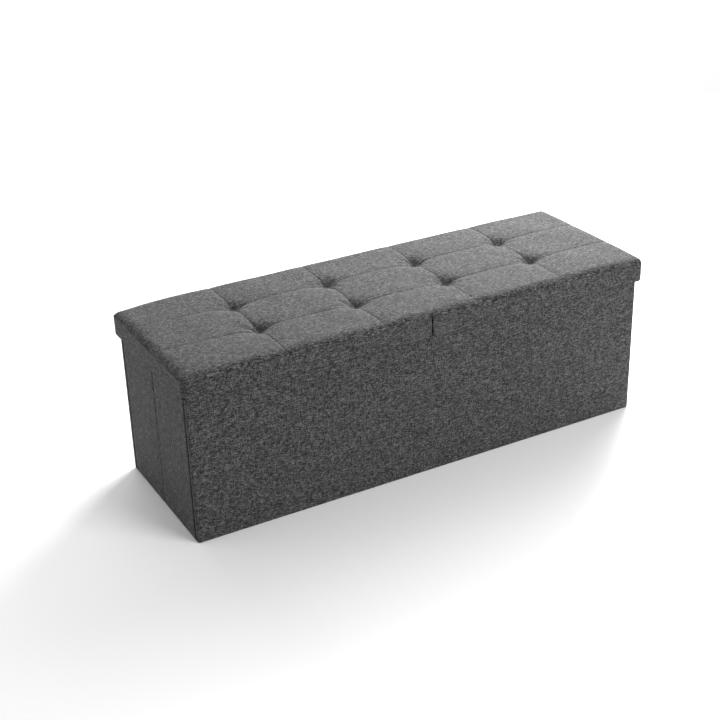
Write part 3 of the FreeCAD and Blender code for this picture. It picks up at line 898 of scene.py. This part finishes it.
# A strip of cloth: its outline carried straight from low to high, smaller over the last millimetre and
# closed to a point at both ends. place turns (across, thickness, along) into x, y, z.
def strip(name, section, low, high, place, material, step=8 * mm, end=0.8 * mm):
    middle = section.mean(0)
    count = max(4, int((high - low) / step))
    inner = np.linspace(low + end, high - end, count)[1:-1]
    stations = np.concatenate([[low, low, low + end * 0.3, low + end], inner,
                               [high - end, high - end * 0.3, high, high]])
    size = np.ones(len(stations))
    size[[0, -1]] = 0.001
    size[[1, -2]] = 0.7
    size[[2, -3]] = 0.9
    rings = middle + (section[None] - middle) * size[:, None, None]
    along = np.broadcast_to(stations[:, None], rings.shape[:2])
    points = np.stack(place(rings[..., 0], rings[..., 1], along), -1)
    around = arcLength(np.concatenate([section, section[:1]]))
    uv = np.stack(np.broadcast_arrays(stations[:, None], around[None, :]), -1)
    return dress(gridPiece(name, points, uv, wrapColumns=True), material)


# A thin ribbon along a path of (a, b) points: two layers half its thickness to each side of the path.
# place turns (across, a, b) into x, y, z.
def ribbon(name, path, half, thick, place, material, count=9):
    tangent = np.gradient(path, axis=0)
    tangent /= np.linalg.norm(tangent, axis=1, keepdims=True)
    normal = np.stack([-tangent[:, 1], tangent[:, 0]], 1) * thick / 2
    across = np.linspace(-half, half, count)[:, None]
    spread = lambda line: place(across, line[None, :, 0], line[None, :, 1])
    layer = lambda line: np.stack(np.broadcast_arrays(*spread(line)), -1)
    uv = np.stack(np.broadcast_arrays(across, arcLength(path)[None, :]), -1)
    piece = closedShell(name, layer(path + normal), layer(path - normal), uv)
    return dress(piece, material)


crease = {
    "half": 6.5 * mm,
    "depth": 3.4 * mm,
    "grooveWidth": 1.35 * mm,
    "fade": 0.8,                # share of the depth lost from top to bottom
    "lift": 0.25 * mm,
    "thick": 0.9 * mm,
}


# The cloth over an end's crease: a strip across both halves with a soft groove that is shallower
# towards the floor. Both faces are the outer face's plane less the groove, a gaussian of its width.
def makeCrease(side, name, rear, oldNode):
    c = crease
    low, high = boxOf(rear + "_cover")
    outerX = max(abs(low[0]), abs(high[0]))
    bottom, top = low[2] + 4 * mm, high[2] - 4.5 * mm
    y = np.sort(np.concatenate([np.linspace(-c["half"], c["half"], 15), np.linspace(-2.2, 2.2, 10) * mm]))
    y, z = np.meshgrid(y, np.linspace(bottom, top, 60), indexing="ij")
    share = (z - bottom) / (top - bottom)
    deep = c["depth"] * (1 - c["fade"] * (1 - share) ** 1.3)
    groove = deep * np.exp(-(np.abs(y) / c["grooveWidth"]) ** 1.4)
    face = outerX + c["lift"] * (1 - (y / c["half"]) ** 2) - groove
    outer = np.stack([side * face, y, z], -1)
    inner = np.stack([side * (face - c["thick"]), y, z], -1)
    piece = closedShell(name, outer, inner, np.stack([y, z], -1))
    dress(piece, sideFabric)
    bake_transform(piece)
    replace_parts(piece, oldNode)


makeCrease(-1, "creaseCloth_left", "left_end_rear", "left_crease_seam")
makeCrease(1, "creaseCloth_right", "right_end_rear", "right_crease_seam")
print("creases made")

tape = {
    "half": 3.9 * mm,
    "thick": 0.8 * mm,
    "bead": 0.8 * mm,
    "hinge": 7 * mm,            # the rolled edge stands this far from the wall
}


# Upright tapes inside the corners and behind the brace: a strip with a rolled edge on its hinge line,
# which is the same strip again, narrow and round.
def uprightTape(name, x, wallY, side, low, high):
    t = tape
    y = wallY - side * t["half"]
    flat = strip(name, stripSection(t["half"] - 0.4 * mm, t["thick"]), low, high,
                 lambda a, b, along: (x + b - t["thick"] / 2, y + a, along), liningFelt)
    hingeY = wallY - side * t["hinge"]
    roll = strip(name + "Roll", stripSection(0.02 * mm, 2 * t["bead"], 2), low, high,
                 lambda a, b, along: (x + b - t["bead"], hingeY + a, along), liningFelt)
    return joined(name, [flat, roll])


# The three upright tapes of a long wall: one in each corner, and one behind the brace.
def makeTapes(part, side):
    wall = part + "_wall"
    low, high = boxOf(part + "_corner_tapes")
    wallY = high[1] if side > 0 else low[1]
    cornerX = high[0] - tape["bead"]
    pair = [uprightTape("cornerTape_" + part + str(k), k * cornerX, wallY, side, low[2], high[2])
            for k in (-1, 1)]
    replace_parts(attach(joined("cornerTapes_" + part, pair), wall), part + "_corner_tapes")
    low, high = boxOf("brace_" + part + "_tape")
    middle = (low[0] + high[0]) / 2
    braceTape = uprightTape("braceTape_" + part, middle, wallY, side, low[2], high[2])
    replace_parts(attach(braceTape, wall), "brace_" + part + "_tape")


makeTapes("rear", 1)
makeTapes("front", -1)


gapShadow = {
    "half": 2.3 * mm,
    "thick": 0.55 * mm,
    "back": 2.6 * mm,           # its middle stands this far from the end's edge
}


# A dark strip on the outer edge of each half end where it meets a wall: painted shadow of the gap there, in
# the dark webbing material.
def makeGapShadow(body):
    b = gapShadow
    low, high = boxOf(body + "_cover")
    sideX = -1 if low[0] < 0 else 1
    sideY = 1 if high[1] > -low[1] else -1
    faceX = low[0] if sideX < 0 else high[0]
    edgeY = high[1] if sideY > 0 else low[1]
    gapShadowStrip = strip("paintedGapShadow_" + body, stripSection(b["half"], b["thick"]), low[2] + 1.5 * mm,
                      high[2] - 4.5 * mm, lambda a, c, along: (faceX + sideX * (c - 0.3 * mm),
                                                               edgeY - sideY * b["back"] + a, along),
                      strapWebbing)
    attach(gapShadowStrip, body)


for halfEnd in ("left_end_rear", "left_end_front", "right_end_rear", "right_end_front"):
    makeGapShadow(halfEnd)


# The brace's two halves are slabs of lining felt over their boards, and one soft strip joins them.
def makeBrace():
    for part, seed in (("rear", 5), ("front", 6)):
        low, high = boxOf("brace_" + part + "_cloth")
        cloth = slab("braceCloth_" + part, liningFelt, steady(low[1]), steady(high[1]),
                     (low[0], high[0]), (low[2], high[2]), (1, 0, 2), (3 * mm, 3 * mm), (3 * mm, 3 * mm),
                     seed=seed)
        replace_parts(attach(cloth, "brace_" + part), "brace_" + part + "_cloth")
    low, high = boxOf("brace_crease_seam")
    faceX = boxOf("brace_rear_cloth")[0][0]
    across = stripSection(6 * mm, 0.8 * mm, 15)
    seam = strip("braceCrease", across, low[2], high[2],
                 lambda a, b, along: (faceX - b + 0.05 * mm, a, along), liningFelt)
    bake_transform(seam)
    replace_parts(seam, "brace_crease_seam")


makeBrace()

base = {
    "reach": 14 * mm,           # how far a hinge strip runs up the wall and over the flap
    "stripThick": 0.7 * mm,
    "flapEdge": 2.4 * mm,
    "tabThick": 0.9 * mm,
    "tabLoop": 1.3 * mm,
    "stitch": 3.2 * mm,
    "threadRadius": 0.28 * mm,
}


# A row of short stitches from one point to another: each is a thin closed spindle that dips into the
# cloth at both ends.
def stitchRow(name, start, finish, thread):
    b = base
    start, finish = np.array(start), np.array(finish)
    length = np.linalg.norm(finish - start)
    count = int(length / (b["stitch"] * 1.35))
    share = np.linspace(0, 1, 9)
    turn = np.linspace(0, 2 * math.pi, 8, endpoint=False)
    size = b["threadRadius"] * np.sqrt(np.clip(1 - (2 * share - 1) ** 4, 0.0001, 1))
    heading = (finish - start) / length
    beside = np.cross(heading, [0, 0, 1])
    parts = []
    for k in range(count):
        first = start + heading * length * k / count
        middle = first + heading * b["stitch"] * share[:, None]
        middle[:, 2] += 0.25 * mm * np.sin(math.pi * share) - 0.15 * mm
        ring = np.cos(turn)[None, :, None] * beside + np.sin(turn)[None, :, None] * np.array([0, 0, 1.0])
        points = middle[:, None] + ring * size[:, None, None]
        uv = np.stack(np.broadcast_arrays(share[:, None] * b["stitch"], np.arange(9)[None] * 0.2 * mm), -1)
        parts.append(gridPiece(name, points, uv, wrapColumns=True, caps=True))
    row = joined(name, parts)
    return dress(row, thread)


# One base flap with its hinge strip and pull tab. The flap is a slab whose length grows towards the
# hinge. The hinge strip is a ribbon round the inside corner, and the tab is a ribbon folded in a loop.
def makeFlap(part, side):
    b = base
    body = part + "_flap"
    low, high = boxOf(body + "_cloth")
    far = high[1] if side > 0 else low[1]
    slant = high[0] - abs(far)
    edge = b["flapEdge"]
    cloth = slab("flapCloth_" + part, liningFelt,
                 lambda y: -slant - abs(y), lambda y: slant + abs(y), (high[2], low[2]), (low[1], high[1]),
                 (0, 2, 1), (edge, edge), (edge, edge), edgeRadius=edge, seed=8 + side)
    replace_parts(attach(cloth, body), body + "_cloth")
    wallY = abs(boxOf("rear_wall_lining")[0][1]) - b["stripThick"] / 2
    floorZ = high[2] + b["stripThick"] / 2
    turn = np.linspace(0, math.pi / 2, 7)
    radius = 1.6 * mm
    bend = np.stack([wallY - radius + radius * np.cos(turn), floorZ + radius - radius * np.sin(turn)], 1)
    path = np.concatenate([[[wallY, floorZ + b["reach"]], [wallY, floorZ + b["reach"] / 2]], bend,
                           [[wallY - b["reach"] / 2, floorZ], [wallY - b["reach"], floorZ]]])
    hinge = ribbon("flapHinge_" + part, path, high[0] - 12 * mm, b["stripThick"],
                   lambda across, y, z: (across, side * y, z), liningFelt, 40)
    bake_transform(hinge)
    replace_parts(hinge, part + "_flap_hinge")
    low, high = boxOf(body + "_pull_tab")
    middle = (low[0] + high[0]) / 2
    near, far = (low[1], high[1]) if side > 0 else (-high[1], -low[1])
    flat = low[2] + b["tabThick"] / 2
    turn = np.linspace(-math.pi / 2, math.pi / 2, 11)
    loop = np.stack([near + b["tabLoop"] * 1.6 - b["tabLoop"] * 1.6 * np.cos(turn),
                     flat + b["tabLoop"] + b["tabLoop"] * np.sin(turn)], 1)
    back = np.linspace(near + 6 * mm, far - 2 * mm, 12)
    ease = np.clip((back - near) / (22 * mm), 0, 1)
    settle = flat + 2 * b["tabLoop"] - (2 * b["tabLoop"] - b["tabThick"]) * ease * ease * (3 - 2 * ease)
    front = [[far, flat], [(near + far) / 2, flat]]
    tab = ribbon("pullTab_" + part, np.concatenate([front, loop, np.stack([back, settle], 1)]),
                 (high[0] - low[0]) / 2, b["tabThick"], lambda across, y, z: (middle + across, side * y, z),
                 strapWebbing, 11)
    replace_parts(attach(tab, body), body + "_pull_tab")
    reachX = (high[0] - low[0]) / 2 - 3 * mm
    top = flat + 1.5 * b["tabThick"]
    left, right = middle - reachX, middle + reachX
    outerY, innerY = side * (far - 5 * mm), side * (far - 20 * mm)
    rows = [((left, y, top), (right, y, top)) for y in (outerY, innerY)]
    rows += [((x, innerY, top), (x, outerY, top)) for x in (left, right)]
    sewn = [stitchRow("tabStitches_%s%d" % (part, k), a, z, seamThread) for k, (a, z) in enumerate(rows)]
    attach(joined("tabStitches_" + part, sewn), body)


makeFlap("rear", 1)
makeFlap("front", -1)


# The cloth under the base: a stretched sheet with slow waves and a pressed crease along its middle.
# It is attached to the rear wall.
def makeFloorCloth():
    low, high = boxOf("floor_cloth")
    x, y = np.meshgrid(np.linspace(low[0], high[0], 120), np.linspace(low[1], high[1], 60), indexing="ij")
    rise = 0.18 * mm * waves(x, y, 0.12, 90) * np.clip((high[1] - np.abs(y)) / (20 * mm), 0, 1)
    rise = rise + 0.9 * mm * np.exp(-np.abs(y) / (2.5 * mm))
    upper = np.stack([x, y, high[2] - 0.25 * mm + rise * 0.35], -1)
    lower = np.stack([x, y, low[2] + 0.15 * mm + rise * 0.35], -1)
    cloth = closedShell("floorCloth", upper, lower, upper[..., :2].copy())
    dress(cloth, floorFelt)
    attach(cloth, "rear_wall")
    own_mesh(cloth)
    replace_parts(cloth, "floor_cloth")


makeFloorCloth()
print("brace and base made")

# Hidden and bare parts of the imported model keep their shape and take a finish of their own.
finishes = [
    ("_skirt_boards", hardBoard), ("_seat_board", chipBoard), ("_tuft_cords", tuftThread),
    ("_tuft_washers", washerPlastic), ("_staples", stapleWire), ("flap_board", hardBoard),
    ("_board", wallBoard),
]
for nodeName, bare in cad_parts.items():
    if bare.hide_render:
        continue
    finish = next(material for ending, material in finishes if nodeName.endswith(ending))
    bare.data.materials.clear()
    bare.data.materials.append(finish)
print("bare parts finished")


cameraPlace = {
    "position": (-1.34297, -2.3454, 1.52779),
    "azimuth": 28.53,
    "elevation": 26.28,
    "roll": -1.7,
    "lens": 68.602,
}


# The camera looks along its azimuth (from +Y towards +X) and down by its elevation, then rolls.
def placeCamera():
    turn, down, roll = (math.radians(cameraPlace[k]) for k in ("azimuth", "elevation", "roll"))
    forward = Vector((math.sin(turn) * math.cos(down), math.cos(turn) * math.cos(down), -math.sin(down)))
    level = Vector((math.cos(turn), -math.sin(turn), 0))
    upward = level.cross(forward)
    right = level * math.cos(roll) + upward * math.sin(roll)
    up = upward * math.cos(roll) - level * math.sin(roll)
    data = bpy.data.cameras.new("studioCamera")
    data.lens = cameraPlace["lens"]
    data.sensor_width = 36
    data.clip_end = 60
    camera = bpy.data.objects.new("studioCamera", data)
    bpy.context.collection.objects.link(camera)
    axes = Matrix((right, up, -forward)).transposed().to_4x4()
    camera.matrix_world = Matrix.Translation(cameraPlace["position"]) @ axes
    bpy.context.scene.camera = camera


surroundStrength = 0.43

lights = [
    # name, position, aim, size, watts
    ("rearRight", (1.9, 1.6, 1.3), (0.3, 0.0, 0.38), 1.2, 84),
    ("topRight", (1.5, 1.0, 1.6), (0.35, 0.0, 0.38), 1.4, 42),
    ("frontRight", (1.6, -3.2, 1.9), (0.2, 0.0, 0.2), 2.2, 118),
    ("farFloor", (1.2, 5.6, 3.6), (1.2, 5.6, 0.0), 4.5, 280),
    ("leftFloor", (-3.4, 1.5, 3.2), (-3.4, 1.5, 0.0), 3.0, 30),
]


# Square soft lights, each turned to its aim, and an even white surround.
def placeLights():
    for name, position, aim, size, watts in lights:
        data = bpy.data.lights.new(name, "AREA")
        data.energy = watts
        data.size = size
        light = bpy.data.objects.new(name, data)
        bpy.context.collection.objects.link(light)
        light.location = position
        light.rotation_euler = (Vector(aim) - Vector(position)).to_track_quat("-Z", "Y").to_euler()
    world = bpy.data.worlds.new("studio")
    world.use_nodes = True
    world.node_tree.nodes["Background"].inputs[0].default_value = (1, 1, 1, 1)
    world.node_tree.nodes["Background"].inputs[1].default_value = surroundStrength
    bpy.context.scene.world = world
    bpy.context.scene.view_settings.view_transform = "Standard"


# A plain pale floor, one square facing up.
def placeFloor():
    reach = 14.0
    corners = np.array([[[x, y, 0.0] for y in (-reach, reach)] for x in (-reach, reach)])
    floor = gridPiece("floor", corners, corners[..., :2].copy(), weld=False)
    floor.data.flip_normals()
    material, _, shader = newMaterial("paleFloor")
    shader.inputs["Base Color"].default_value = (0.95, 0.95, 0.95, 1)
    shader.inputs["Roughness"].default_value = 0.9
    floor.data.materials.append(material)


placeCamera()
placeLights()
placeFloor()
print("studio made")
